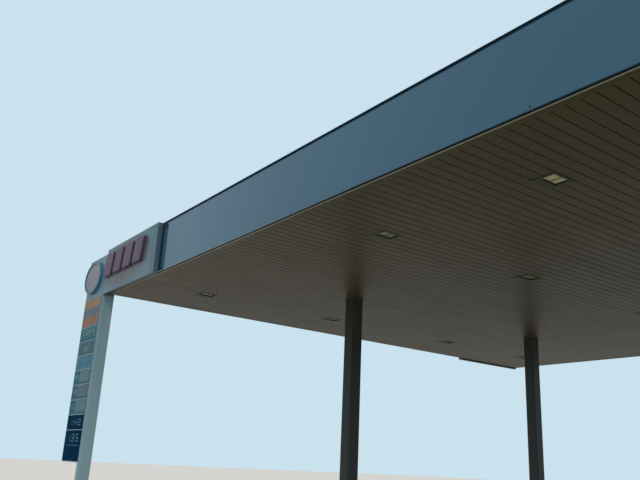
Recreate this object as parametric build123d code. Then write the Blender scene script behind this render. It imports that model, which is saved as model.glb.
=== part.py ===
"""Filling station canopy: a flat steel roof on four columns, with corner sign boxes and a price pylon.

Frame: millimetres, +Z up. The origin is the underside of the front left column's base plate,
at the column's centre. +X runs along the front fascia to the right, +Y runs to the back.
"""

import os

from build123d import *

# Setting out of the columns and of the roof edge
bay_x = 9330.0  # between the left and the right pair of columns
bay_y = 5330.0  # between the front and the back column of a pair
overhang_x = 3285.0  # roof edge beyond the column centre, left and right
overhang_y = 3635.0  # roof edge beyond the column centre, front and back
soffit_z = 4600.0  # underside of the soffit above the ground
parapet_height = 882.0  # soffit underside to the top of the coping

# Columns
column_side = 240.0
column_wall = 10.0
column_corner_radius = 20.0
base_plate_side = 450.0
base_plate_thickness = 25.0
anchor_spacing = 350.0
anchor_hole_radius = 14.0
head_plate_side = 300.0
head_plate_thickness = 20.0

# Steel frame above the soffit
main_beam_width = 300.0
main_beam_depth = 290.0
main_beam_flange = 14.0
main_beam_web = 9.0
service_gap = 40.0  # between the soffit rails and the main beams
purlin_width = 90.0
purlin_depth = 180.0
purlin_flange = 8.0
purlin_web = 6.0
purlin_count = 9
edge_beam_width = 75.0
edge_beam_wall = 8.0

# Parapet
post_leg = 50.0
post_wall = 4.0
post_spacing = 1500.0
corner_post_inset = 230.0
flashing_thickness = 3.0
coping_sheet = 4.0
coping_drip = 12.0  # how far the coping stands out from the fascia
coping_leg = 38.0

# Fascia cassettes
fascia_sheet = 4.0
fascia_depth = 40.0  # sheet face to the posts
fascia_return = 30.0
fascia_hook_height = 30.0
fascia_hook_levels = (0.22, 0.78)  # share of the fascia's height

# Roof deck and gutters
deck_sheet = 3.0
deck_rib_height = 45.0
deck_rib_pitch = 333.0
deck_rib_top = 60.0
deck_rib_slope = 30.0
gutter_depth = 110.0
gutter_sheet = 3.0
gutter_width = 245.0
purlin_share_of_lip = 0.25  # how much of the first purlin's flange the gutter's lip rests on
outlet_side = 100.0
outlet_length = 90.0
clearance = 2.0

# Soffit
slat_pitch = 150.0
slat_depth = 20.0
slat_groove_width = 12.0
slat_groove_depth = 13.0
soffit_border = 150.0  # fascia face to the ends of the slats
shadow_gap = 20.0
bay_count = 3
rail_width = 50.0
rail_depth = 40.0
rail_wall = 4.0
hanger_width = 30.0
hanger_thickness = 4.0
hanger_beam_clearance = 150.0  # from a main beam's flange to the hangers beside it
column_hole_clearance = 3.0

# Recessed downlights
light_inset_x = 1425.0  # roof edge to the lights over the outer lanes
light_middle_offset = 1335.0  # roof's middle to the lights over the inner lanes
light_outer_row_offset = 470.0  # outer row's centre to the purlin line that it hangs beside
light_inner_row_offset = 330.0
light_opening = 290.0
light_flange = 20.0
light_flange_thickness = 6.0
light_frame_lip = 15.0
light_gear_width = 95.0  # closed gear compartment at the left of each light
light_bar_width = 10.0  # bar across the middle of the lens
light_housing_clearance = 2.0
light_housing_wall = 3.0
light_housing_height = 130.0
light_lens_thickness = 5.0
light_lens_clearance = 2.0

# Sign boxes
sign_length = 2395.0
sign_projection = 100.0  # front face out from the fascia
sign_standoff = 12.0
sign_drop = 35.0  # below the soffit's underside
sign_edge_radius = 10.0
sign_spacer_reach = 70.0  # spacer frame beyond the end of the box
sign_spacer_bar = 60.0
sign_bracket_height = 75.0
sign_bracket_reach = 110.0
sign_foot_height = 30.0
sign_foot_reach = 55.0
bar_count = 4
bar_height = 460.0
bar_width = 375.0
bar_slant = 90.0
bar_gap = 100.0
bar_depth = 60.0
bar_left_margin = 60.0
bar_base = 325.0  # above the bottom of the box
bar_corner = 24.0

# Price pylon
pylon_width = 950.0
pylon_depth = 246.0
pylon_drop = 82.0  # below the top of the sign box
pylon_edge_radius = 8.0
pylon_plate_margin = 60.0
pylon_plate_thickness = 20.0
pylon_bolt_inset = 30.0
pylon_hole_radius = 9.0
panel_drop = 55.0  # highest panel below the soffit
top_panel_height = 555.0
row_panel_height = 271.0
row_panel_count = 7
bottom_panel_height = 556.0
panel_gap = 14.0
panel_thickness = 6.0
panel_side_margin = 20.0
disc_width = 900.0
disc_height = 668.0
disc_depth = 60.0
disc_rim = 52.0
disc_recess = 14.0
disc_overhang = 80.0  # beyond the pylon's left side
disc_rise = 400.0  # centre above the soffit

# Derived planes
sides = ("front", "right", "back", "left")
x_left = -overhang_x
x_right = bay_x + overhang_x
y_front = -overhang_y
y_back = bay_y + overhang_y
length_x = x_right - x_left
length_y = y_back - y_front
x_middle = (x_left + x_right) / 2
y_middle = (y_front + y_back) / 2
z_slat_top = soffit_z + slat_depth
z_rail_top = z_slat_top + rail_depth
z_beam_bottom = z_rail_top + service_gap
z_beam_top = z_beam_bottom + main_beam_depth
z_deck = z_beam_top + purlin_depth
z_top = soffit_z + parapet_height
z_post_top = z_top - coping_sheet
post_outer = fascia_depth
post_inner = post_outer + post_leg
flashing_inner = post_inner + flashing_thickness
edge_inner = post_inner + edge_beam_width
purlin_inset = edge_inner + gutter_width + purlin_width / 2
gutter_lip = purlin_share_of_lip * purlin_width
pylon_left = x_left - pylon_width
sign_front_y = y_front - sign_projection


def block(x0, x1, y0, y1, z0, z1):
    """A box between two corners."""
    return Pos((x0 + x1) / 2, (y0 + y1) / 2, (z0 + z1) / 2) * Box(x1 - x0, y1 - y0, z1 - z0)


def ring(outer, inner, z0, z1):
    """A rectangular ring that follows the roof edge, between two insets from the edge."""
    outside = block(x_left + outer, x_right - outer, y_front + outer, y_back - outer, z0, z1)
    inside = block(x_left + inner, x_right - inner, y_front + inner, y_back - inner, z0, z1)
    return outside - inside


def quarter(side):
    """The mitred quarter of the roof plan that belongs to one side, as a tall prism."""
    plan = ((x_left, y_front), (x_right, y_front), (x_right, y_back), (x_left, y_back))
    corners = [Vector(x, y) for x, y in plan]
    index = sides.index(side)
    first, last = corners[index], corners[(index + 1) % len(corners)]
    run = (last - first).normalized()
    inward = Vector(-run.Y, run.X)
    reach = length_y / 4
    outline = [
        first - (run + inward) * reach,
        last + (run - inward) * reach,
        last - (run - inward) * reach,
        first + (run + inward) * reach,
    ]
    face = make_face(Polyline(*[(p.X, p.Y) for p in outline], close=True))
    return extrude(face, 2 * z_top)


def split_by_side(whole):
    """Cuts a ring into its four mitred sides."""
    return {side: whole & quarter(side) for side in sides}


def in_pairs(whole):
    """Cuts a ring into front with back, and left with right, which don't touch each other."""
    piece = split_by_side(whole)
    return {"front_back": [piece["front"], piece["back"]], "left_right": [piece["left"], piece["right"]]}


def evenly(first, last, count):
    """Evenly spaced values from first to last."""
    return [first + (last - first) * i / (count - 1) for i in range(count)]


def column_centres():
    """Plan positions of the four columns, left pair first."""
    return [(x, y) for x in (0.0, bay_x) for y in (0.0, bay_y)]


def purlin_lines():
    """The y of each purlin; the soffit rails and hangers share these lines."""
    return evenly(y_front + purlin_inset, y_back - purlin_inset, purlin_count)


def light_centres():
    """Lights hang over the lanes, beside every second purlin and on its outer side."""
    outer_lanes = [x_left + light_inset_x, x_right - light_inset_x]
    inner_lanes = [x_middle - light_middle_offset, x_middle + light_middle_offset]
    lines = purlin_lines()[1::2]
    rows = []
    for y in lines:
        outward = -1 if y < y_middle else 1
        offset = light_outer_row_offset if y in (lines[0], lines[-1]) else light_inner_row_offset
        rows.append(y + outward * offset)
    return [(x, y) for x in outer_lanes + inner_lanes for y in rows]


def hanger_lines():
    """The x of each line of hangers: half way out, beside the main beams, and at thirds of the bay."""
    beside = main_beam_width / 2 + hanger_beam_clearance
    return [-overhang_x / 2, beside, bay_x / 3, 2 * bay_x / 3, bay_x - beside, bay_x + overhang_x / 2]


def column(x, y):
    """A square hollow section with rounded corners, from its base plate to its head plate."""
    half, bore = column_side / 2, column_side / 2 - column_wall
    bottom, top = base_plate_thickness, z_beam_bottom - head_plate_thickness
    outside = block(x - half, x + half, y - half, y + half, bottom, top)
    outside = fillet(outside.edges().filter_by(Axis.Z), column_corner_radius)
    return outside - block(x - bore, x + bore, y - bore, y + bore, bottom, top)


def base_plate(x, y):
    """A column's base plate with four anchor holes."""
    plate = Pos(x, y, base_plate_thickness / 2) * Box(base_plate_side, base_plate_side, base_plate_thickness)
    holes = GridLocations(anchor_spacing, anchor_spacing, 2, 2)
    hole = Cylinder(anchor_hole_radius, base_plate_thickness * 2)
    return plate - [Pos(x, y, 0) * spot * hole for spot in holes]


def head_plate(x, y):
    """The plate between a column and its main beam."""
    half = head_plate_side / 2
    return block(x - half, x + half, y - half, y + half, z_beam_bottom - head_plate_thickness, z_beam_bottom)


def i_section(width, depth, flange, web):
    """An I section drawn in the sketch plane, standing on its bottom flange."""
    bottom = Pos(0, flange / 2) * Rectangle(width, flange)
    top = Pos(0, depth - flange / 2) * Rectangle(width, flange)
    middle = Pos(0, depth / 2) * Rectangle(web, depth - 2 * flange)
    return bottom + top + middle


def main_beam(x):
    """A main beam, front to back over a pair of columns."""
    section = i_section(main_beam_width, main_beam_depth, main_beam_flange, main_beam_web)
    plane = Plane(origin=(x, y_back - post_inner, z_beam_bottom), x_dir=(1, 0, 0), z_dir=(0, -1, 0))
    return extrude(plane * section, length_y - 2 * post_inner)


def purlin(y):
    """A purlin, left to right on top of the main beams."""
    section = i_section(purlin_width, purlin_depth, purlin_flange, purlin_web)
    plane = Plane(origin=(x_left + edge_inner, y, z_beam_top), x_dir=(0, 1, 0), z_dir=(1, 0, 0))
    return extrude(plane * section, length_x - 2 * edge_inner)


def channel_section():
    """The edge beam's section: web inside, flanges pointing out to the posts."""
    outline = Pos(edge_beam_width / 2, purlin_depth / 2) * Rectangle(edge_beam_width, purlin_depth)
    mouth = edge_beam_width - edge_beam_wall
    return outline - Pos(mouth / 2, purlin_depth / 2) * Rectangle(mouth, purlin_depth - 2 * edge_beam_wall)


def edge_beam(side):
    """One edge channel; the front and back ones run through, the side ones butt against their webs."""
    if side in ("front", "back"):
        run = length_x - 2 * post_inner
        inward = 1 if side == "front" else -1
        y = (y_front if side == "front" else y_back) + inward * post_inner
        plane = Plane(origin=(x_middle, y, z_beam_top), x_dir=(0, inward, 0), z_dir=(inward, 0, 0))
    else:
        run = length_y - 2 * edge_inner
        inward = 1 if side == "left" else -1
        x = (x_left if side == "left" else x_right) + inward * post_inner
        plane = Plane(origin=(x, y_middle, z_beam_top), x_dir=(inward, 0, 0), z_dir=(0, -inward, 0))
    return extrude(plane * channel_section(), run / 2, both=True)


def post(x, y, turn):
    """Angle post, one leg behind the fascia and one pointing in; turned about z from the front side."""
    z0, z1 = z_slat_top, z_post_top
    along = block(0, post_leg, 0, post_wall, z0, z1)
    inward = block(0, post_wall, 0, post_leg, z0, z1)
    return Pos(x, y, 0) * Rot(0, 0, turn) * (along + inward)


def posts():
    """Parapet posts behind each fascia."""
    spans = round((length_x - 2 * corner_post_inset) / post_spacing)
    along_x = evenly(x_left + corner_post_inset, x_right - corner_post_inset, spans + 1)
    spans = round((length_y - 2 * corner_post_inset) / post_spacing)
    along_y = evenly(y_front + corner_post_inset, y_back - corner_post_inset, spans + 1)
    front_and_back = [post(x, y_front + post_outer, 0) for x in along_x]
    front_and_back += [post(x, y_back - post_outer, 180) for x in along_x]
    left_and_right = [post(x_left + post_outer, y, -90) for y in along_y]
    left_and_right += [post(x_right - post_outer, y, 90) for y in along_y]
    return front_and_back + left_and_right


def fascia_ring():
    """Face sheet, folded returns and the two hook rails of the fascia, all round."""
    face = ring(0, fascia_sheet, soffit_z, z_post_top)
    bottom = ring(0, fascia_return, soffit_z, soffit_z + fascia_sheet)
    top = ring(0, fascia_depth, z_post_top - fascia_sheet, z_post_top)
    hooks = []
    for share in fascia_hook_levels:
        level = soffit_z + share * (z_post_top - soffit_z)
        hooks.append(ring(0, fascia_depth, level, level + fascia_hook_height))
    return face + bottom + top + hooks


def coping_ring():
    """Cap over the parapet with a drip leg outside and a leg inside."""
    inner = flashing_inner + coping_sheet
    cap = ring(-coping_drip, inner, z_post_top, z_top)
    drip = ring(-coping_drip, -coping_drip + coping_sheet, z_post_top - coping_leg, z_post_top)
    back = ring(flashing_inner, inner, z_post_top - coping_leg, z_post_top)
    return cap + drip + back


def parapet_flashing_ring():
    """Upright sheet on the inside of the posts."""
    return ring(post_inner, flashing_inner, z_deck, z_post_top)


def gutter(side):
    """Box gutter between an edge beam and the first purlin, with two outlet spigots."""
    outer = edge_inner
    inner = edge_inner + gutter_width
    lip_outer = flashing_inner + clearance
    x0 = x_left + edge_inner + clearance
    x1 = x_right - edge_inner - clearance
    sheet, bottom = gutter_sheet, z_deck - gutter_depth
    trough = block(x0, x1, outer, inner, bottom, z_deck)
    trough -= block(x0 + sheet, x1 - sheet, outer + sheet, inner - sheet, bottom + sheet, z_deck)
    trough += block(x0, x1, lip_outer, outer + sheet, z_deck, z_deck + sheet)
    trough += block(x0, x1, inner - sheet, inner + gutter_lip, z_deck, z_deck + sheet)
    for x in (main_beam_width, bay_x - main_beam_width):
        middle = Pos(x, (outer + inner) / 2, bottom - outlet_length / 2 + sheet)
        bore = outlet_side - 2 * sheet
        trough += middle * Box(outlet_side, outlet_side, outlet_length)
        trough -= middle * Box(bore, bore, outlet_length + 2 * sheet)
    if side == "front":
        return Pos(0, y_front, 0) * trough
    return Pos(0, y_back, 0) * mirror(trough, about=Plane.XZ)


def roof_deck():
    """Trapezoidal deck sheet, ribs running front to back."""
    start = x_left + flashing_inner + clearance
    end = x_right - flashing_inner - clearance
    ribs = round((end - start) / deck_rib_pitch)
    pitch = (end - start) / ribs
    pan = pitch - deck_rib_top - 2 * deck_rib_slope
    wave = [(start, 0)]
    for i in range(ribs):
        foot = start + i * pitch + pan / 2
        crest = foot + deck_rib_slope
        wave.append((foot, 0))
        wave.append((crest, deck_rib_height))
        wave.append((crest + deck_rib_top, deck_rib_height))
        wave.append((crest + deck_rib_top + deck_rib_slope, 0))
    wave.append((end, 0))
    upper = [(x, z + deck_sheet) for x, z in reversed(wave)]
    inset = edge_inner + gutter_width + gutter_lip + clearance
    plane = Plane(origin=(0, y_back - inset, z_deck), x_dir=(1, 0, 0), z_dir=(0, -1, 0))
    return extrude(plane * make_face(Polyline(*wave, *upper, close=True)), length_y - 2 * inset)


def soffit_border_ring():
    """Plain strip between the fascia's shadow gap and the ends of the slats."""
    return ring(fascia_return + shadow_gap, soffit_border, soffit_z, z_slat_top)


def slat_outline(first, last):
    """Section across the slats of one bay: a plate with a groove at every slat joint."""
    half_groove = slat_groove_width / 2
    joints = []
    x = first
    while x < last - slat_groove_width:
        joints.append(x)
        x += slat_pitch
    joints.append(last)
    outline = [(first, slat_groove_depth)]
    for left, right in zip(joints, joints[1:]):
        outline.append((left + half_groove, slat_groove_depth))
        outline.append((left + half_groove, 0))
        outline.append((right - half_groove, 0))
        outline.append((right - half_groove, slat_groove_depth))
    return outline + [(last, slat_groove_depth), (last, slat_depth), (first, slat_depth)]


def soffit_bay(first, last):
    """Slats from one bay edge to the next, with the holes for lights and columns."""
    plane = Plane(origin=(0, y_back - soffit_border, soffit_z), x_dir=(1, 0, 0), z_dir=(0, -1, 0))
    face = make_face(Polyline(*slat_outline(first, last), close=True))
    slats = extrude(plane * face, length_y - 2 * soffit_border)
    column_hole = column_side + 2 * column_hole_clearance
    holes = [(x, y, light_opening) for x, y in light_centres()]
    holes += [(x, y, column_hole) for x, y in column_centres()]
    in_bay = [(x, y, hole) for x, y, hole in holes if first - hole < x < last + hole]
    return slats - [Pos(x, y, soffit_z) * Box(hole, hole, 3 * slat_depth) for x, y, hole in in_bay]


def soffit_bay_edges():
    """Bay edges on the slat module, so that every joint falls in a groove."""
    first, last = x_left + soffit_border, x_right - soffit_border
    slats = round((last - first) / slat_pitch)
    inner = [first + slat_pitch * round(slats * i / bay_count) for i in range(1, bay_count)]
    return [first] + inner + [last]


def soffit_rail(y):
    """Channel rail that the slats clip to, open side down."""
    half = rail_width / 2
    x0, x1 = x_left + soffit_border, x_right - soffit_border
    inner = half - rail_wall
    solid = block(x0, x1, y - half, y + half, z_slat_top, z_rail_top)
    return solid - block(x0, x1, y - inner, y + inner, z_slat_top, z_rail_top - rail_wall)


def hanger(x, y):
    """Strap from a purlin down to a soffit rail."""
    half, thin = hanger_width / 2, hanger_thickness / 2
    return block(x - half, x + half, y - thin, y + thin, z_rail_top, z_beam_top)


def light_frame(x, y):
    """Flange under the soffit, closed under the gear compartment, with a bar across the lens."""
    outer = light_opening / 2 + light_flange
    inner = light_opening / 2 - light_frame_lip
    half_bar = light_bar_width / 2
    z0, z1 = soffit_z - light_flange_thickness, soffit_z
    x0 = x - light_opening / 2 + light_gear_width
    flange = block(x - outer, x + outer, y - outer, y + outer, z0, z1)
    front_pane = block(x0, x + inner, y - inner, y - half_bar, z0, z1)
    back_pane = block(x0, x + inner, y + half_bar, y + inner, z0, z1)
    return flange - front_pane - back_pane


def light_housing(x, y):
    """Open box above the flange."""
    outer = light_opening / 2 - light_housing_clearance
    inner = outer - light_housing_wall
    top = soffit_z + light_housing_height
    box = block(x - outer, x + outer, y - outer, y + outer, soffit_z, top)
    return box - block(x - inner, x + inner, y - inner, y + inner, soffit_z, top - light_housing_wall)


def light_lens(x, y):
    """Flat lens that lies on the flange, inside the lamp's part of the housing."""
    half = light_opening / 2 - light_housing_clearance - light_housing_wall - light_lens_clearance
    x0 = x - light_opening / 2 + light_gear_width + light_lens_clearance
    return block(x0, x + half, y - half, y + half, soffit_z, soffit_z + light_lens_thickness)


def sign_box():
    """A sign box drawn on the front fascia, starting at the roof's left corner."""
    bottom = soffit_z - sign_drop
    body = block(x_left, x_left + sign_length, sign_front_y, y_front - sign_standoff, bottom, z_top)
    front = body.edges().group_by(Axis.Y)[0]
    return fillet(front, sign_edge_radius)


def sign_spacer():
    """Dark frame between a sign box and the fascia, with its bracket and foot past the free end."""
    bottom, top = soffit_z + sign_foot_height, z_post_top - coping_leg
    y0, y1 = y_front - sign_standoff, y_front
    end = x_left + sign_length + sign_spacer_reach
    bar = sign_spacer_bar
    frame = block(x_left + bar, end, y0, y1, bottom, top)
    frame -= block(x_left + 2 * bar, end - bar, y0, y1, bottom + bar, top - bar)
    bracket = block(end - bar, end + sign_bracket_reach, y0, y1, top - sign_bracket_height, top)
    foot = block(end - bar, end + sign_foot_reach, y0, y1, bottom, bottom + sign_foot_height)
    return frame + bracket + foot


def sign_bars():
    """Plain slanted bars that stand out from the sign face."""
    bottom = soffit_z - sign_drop + bar_base
    plane = Plane(origin=(0, sign_front_y, bottom), x_dir=(1, 0, 0), z_dir=(0, -1, 0))
    bars = []
    for i in range(bar_count):
        x0 = x_left + bar_left_margin + i * (bar_width + bar_gap)
        x1 = x0 + bar_width
        corners = [(x0, 0), (x1, 0), (x1 + bar_slant, bar_height), (x0 + bar_slant, bar_height)]
        bar = extrude(plane * make_face(Polyline(*corners, close=True)), bar_depth)
        bars.append(chamfer(bar.edges().filter_by(Axis.Y), bar_corner))
    return bars


def onto_left_side(shape):
    """Moves a front sign piece onto the left fascia, at its back end."""
    turned = Pos(x_left, y_front, 0) * Rot(0, 0, -90) * Pos(-x_left, -y_front, 0) * shape
    return Pos(0, length_y, 0) * turned


def pylon_body():
    """Tall flat housing beside the roof corner, its face in line with the sign box."""
    y1 = sign_front_y + pylon_depth
    body = block(pylon_left, x_left, sign_front_y, y1, pylon_plate_thickness, z_top - pylon_drop)
    return fillet(body.edges().filter_by(Axis.Z).sort_by(Axis.X)[:2], pylon_edge_radius)


def pylon_plate():
    """The pylon's base plate with four bolt holes outside the housing."""
    margin = pylon_plate_margin
    y0, y1 = sign_front_y - margin, sign_front_y + pylon_depth + margin
    plate = block(pylon_left - margin, x_left + margin, y0, y1, 0, pylon_plate_thickness)
    middle = Pos((pylon_left + x_left) / 2, (y0 + y1) / 2, 0)
    spots = GridLocations(pylon_width + 2 * pylon_bolt_inset, pylon_depth + 2 * pylon_bolt_inset, 2, 2)
    hole = Cylinder(pylon_hole_radius, 3 * pylon_plate_thickness)
    return plate - [middle * spot * hole for spot in spots]


def price_panels():
    """Thin panels on the pylon's front: a tall one, a stack of equal rows, and another tall one."""
    x0, x1 = pylon_left + panel_side_margin, x_left - panel_side_margin
    upper = soffit_z - panel_drop
    panels = []
    for height in [top_panel_height] + [row_panel_height] * row_panel_count + [bottom_panel_height]:
        panels.append(block(x0, x1, sign_front_y - panel_thickness, sign_front_y, upper - height, upper))
        upper -= height + panel_gap
    return panels


def disc_plane():
    """Drawing plane of the oval disc, on the pylon's face and facing forward."""
    x = pylon_left - disc_overhang + disc_width / 2
    return Plane(origin=(x, sign_front_y, soffit_z + disc_rise), x_dir=(1, 0, 0), z_dir=(0, -1, 0))


def oval(inset):
    """Four-centre oval, small arcs at its ends and large ones between, moved in by an inset."""
    a, b = disc_width / 2, disc_height / 2
    chord = (a * a + b * b) ** 0.5
    share = (chord - (a - b)) / 2
    end_radius, long_radius = share * chord / a, (chord - share) * chord / b
    end_centre, long_centre = Vector(a - end_radius, 0), Vector(0, b - long_radius)
    corner = end_centre + (end_centre - long_centre).normalized() * (end_radius - inset)
    x, y = corner.X, corner.Y
    arcs = [
        ThreePointArc((x, -y), (a - inset, 0), (x, y)),
        ThreePointArc((x, y), (0, b - inset), (-x, y)),
        ThreePointArc((-x, y), (inset - a, 0), (-x, -y)),
        ThreePointArc((-x, -y), (0, inset - b), (x, -y)),
    ]
    return make_face(arcs)


def disc_rim_ring():
    """Raised oval rim."""
    return extrude(disc_plane() * (oval(0) - oval(disc_rim)), disc_depth)


def disc_face():
    """Plain field set back inside the rim."""
    return extrude(disc_plane() * oval(disc_rim), disc_depth - disc_recess)


def write(name, shape):
    """Writes one node; a list becomes several solids in the same node."""
    if isinstance(shape, list):
        solids = [s for item in shape for s in item.solids()]
        shape = Compound(children=solids)
    export_step(shape, f"parts/{name}.step")


def write_frame():
    """Columns, plates and the steel above the soffit."""
    names = ("column_front_left", "column_back_left", "column_front_right", "column_back_right")
    for name, (x, y) in zip(names, column_centres()):
        write(name, column(x, y))
    write("base_plates", [base_plate(x, y) for x, y in column_centres()])
    write("head_plates", [head_plate(x, y) for x, y in column_centres()])
    write("main_beam_left", main_beam(0))
    write("main_beam_right", main_beam(bay_x))
    write("purlins", [purlin(y) for y in purlin_lines()])
    for side in sides:
        write(f"edge_beam_{side}", edge_beam(side))


def write_parapet_and_roof():
    """Posts, fascia, coping, flashing, gutters and deck."""
    write("fascia_posts", posts())
    for side, piece in split_by_side(fascia_ring()).items():
        write(f"fascia_{side}", piece)
    for side, piece in split_by_side(coping_ring()).items():
        write(f"coping_{side}", piece)
    for pair, pieces in in_pairs(parapet_flashing_ring()).items():
        write(f"parapet_flashing_{pair}", pieces)
    write("gutter_front", gutter("front"))
    write("gutter_back", gutter("back"))
    write("roof_deck", roof_deck())


def write_soffit():
    """Border, slatted bays, rails, hangers and lights."""
    for pair, pieces in in_pairs(soffit_border_ring()).items():
        write(f"soffit_border_{pair}", pieces)
    edges = soffit_bay_edges()
    for i, (first, last) in enumerate(zip(edges, edges[1:]), 1):
        write(f"soffit_bay_{i}", soffit_bay(first, last))
    write("soffit_rails", [soffit_rail(y) for y in purlin_lines()])
    write("soffit_hangers", [hanger(x, y) for x in hanger_lines() for y in purlin_lines()])
    write("downlight_frames", [light_frame(x, y) for x, y in light_centres()])
    write("downlight_housings", [light_housing(x, y) for x, y in light_centres()])
    write("downlight_lenses", [light_lens(x, y) for x, y in light_centres()])


def write_signs():
    """Sign boxes at the two corners, and the price pylon."""
    write("sign_box_front", sign_box())
    write("sign_box_left", onto_left_side(sign_box()))
    write("sign_spacers", [sign_spacer(), onto_left_side(sign_spacer())])
    write("sign_bars_front", sign_bars())
    write("sign_bars_left", [onto_left_side(bar) for bar in sign_bars()])
    write("pylon_body", pylon_body())
    write("pylon_base_plate", pylon_plate())
    write("price_panels", price_panels())
    write("disc_rim", disc_rim_ring())
    write("disc_face", disc_face())


os.makedirs("parts", exist_ok=True)
write_frame()
write_parapet_and_roof()
write_soffit()
write_signs()
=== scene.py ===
"""Filling station canopy: the looks of the part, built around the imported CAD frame.

Metres, +Z up. The origin is the underside of the front left column's base plate. +X runs along
the front fascia to the right, +Y runs to the back.
"""

import logging
import math
from dataclasses import dataclass, field
from enum import Enum
from functools import cached_property
from typing import Iterable, Sequence

import bmesh
import bpy
from mathutils import Matrix, Vector


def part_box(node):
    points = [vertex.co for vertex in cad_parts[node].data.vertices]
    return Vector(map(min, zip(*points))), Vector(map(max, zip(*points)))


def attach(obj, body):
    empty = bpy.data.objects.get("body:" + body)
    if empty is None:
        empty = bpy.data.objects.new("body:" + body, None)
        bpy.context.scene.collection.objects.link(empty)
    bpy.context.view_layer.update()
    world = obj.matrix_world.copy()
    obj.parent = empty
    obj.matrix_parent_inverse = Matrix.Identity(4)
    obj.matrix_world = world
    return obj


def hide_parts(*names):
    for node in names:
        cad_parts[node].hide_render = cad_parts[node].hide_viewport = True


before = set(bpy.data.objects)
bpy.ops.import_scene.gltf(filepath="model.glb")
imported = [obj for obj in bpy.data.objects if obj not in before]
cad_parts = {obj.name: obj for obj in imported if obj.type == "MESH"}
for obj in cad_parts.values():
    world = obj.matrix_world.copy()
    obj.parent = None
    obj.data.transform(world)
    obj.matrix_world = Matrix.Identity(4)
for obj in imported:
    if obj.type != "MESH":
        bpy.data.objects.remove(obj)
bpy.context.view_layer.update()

log = logging.getLogger("canopy")

Colour = tuple[float, float, float]
Triple = tuple[float, float, float]
Pair = tuple[float, float]
Point = Sequence[float]
Outline = list[Vector]
Socket = bpy.types.NodeSocket
Fed = float | Point | Socket

BODY = "root"
SIDES = ("front", "right", "back", "left")
COLUMNS = tuple(f"column_{place}" for place in ("front_left", "back_left", "front_right", "back_right"))
UP, DOWN, TO_FRONT = (0, 0, 1), (0, 0, -1), (0, -1, 0)
SMOOTH_ANGLE = math.radians(32)
SHARP_ANGLE = math.radians(40)
QUARTER = tuple(math.pi / 2 * i / 3 for i in range(4))
CORNER_STEPS = 5
EASED = 0.001
THIN_EASED = 0.0004
SUNK = 0.0005
INK_FADE = 0.08
FADED_TO = 200


def srgb(*levels: int) -> Colour:
    """Turns red, green and blue as a screen shows them, 0 to 255, into the linear colour of a shader."""
    shares = [level / 255 for level in levels]
    return tuple(s / 12.92 if s < 0.04045 else ((s + 0.055) / 1.055) ** 2.4 for s in shares)


def put(name: str, data: bpy.types.ID) -> bpy.types.Object:
    """Makes an object and links it to the scene.

    Args:
        name: Its name.
        data: Its mesh, lamp or camera.

    Returns:
        The object.
    """
    made = bpy.data.objects.new(name, data)
    bpy.context.scene.collection.objects.link(made)
    return made


def baked(made: bpy.types.Object) -> bpy.types.Mesh:
    """Makes a mesh of an object with its modifiers applied."""
    graph = bpy.context.evaluated_depsgraph_get()
    return bpy.data.meshes.new_from_object(made.evaluated_get(graph))


# Places taken from the frame


@dataclass(frozen=True)
class Box:
    """Lowest and highest corner of a solid, in metres."""

    lo: Vector
    hi: Vector

    @property
    def centre(self) -> Vector:
        """The middle of the box."""
        return (self.lo + self.hi) / 2

    @property
    def size(self) -> Vector:
        """The lengths of the box's sides."""
        return self.hi - self.lo

    def spot(self, across: float, up: float) -> Vector:
        """The place at a share of the front face's width and height."""
        return Vector((self.lo.x + across * self.size.x, self.lo.y, self.lo.z + up * self.size.z))

    def plan(self, margin: float) -> Outline:
        """The box seen from above, counter-clockwise and grown by a margin."""
        (x0, y0), (x1, y1) = self.lo.xy - Vector((margin, margin)), self.hi.xy + Vector((margin, margin))
        return [Vector(corner) for corner in ((x0, y0), (x1, y0), (x1, y1), (x0, y1))]

    @staticmethod
    def of(node: str) -> "Box":
        """The box of a CAD node."""
        return Box(*(Vector(corner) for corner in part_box(node)))


def roof_outline() -> Box:
    """The box of the fascia all round."""
    return Box(Box.of("fascia_left").lo, Box.of("fascia_right").hi)


def solids(node: str) -> list[Box]:
    """Finds the box of each separate solid in a CAD node.

    Args:
        node: Name of the CAD node.

    Returns:
        One box a solid, ordered by x, then y, then z.
    """
    same_place = 1e-5
    mesh = bmesh.new()
    mesh.from_mesh(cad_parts[node].data)
    bmesh.ops.remove_doubles(mesh, verts=mesh.verts, dist=same_place)
    left = set(mesh.verts)
    boxes = []
    while left:
        group, queue = [], [left.pop()]
        while queue:
            vert = queue.pop()
            group.append(vert.co.copy())
            found = {edge.other_vert(vert) for edge in vert.link_edges} & left
            left -= found
            queue += found
        boxes.append(Box(Vector(map(min, *group)), Vector(map(max, *group))))
    mesh.free()
    return sorted(boxes, key=lambda box: tuple(round(c, 3) for c in box.lo))


def steps_between(boxes: Sequence[Box]) -> list[Vector]:
    """How far each box lies from the first one."""
    return [box.lo - boxes[0].lo for box in boxes]


# Mesh making


def circle(radius: float, count: int) -> Outline:
    """Points round a circle or a regular polygon in the drawing plane, counter-clockwise."""
    turns = [2 * math.pi * i / count for i in range(count)]
    return [Vector((radius * math.cos(turn), radius * math.sin(turn))) for turn in turns]


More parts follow.
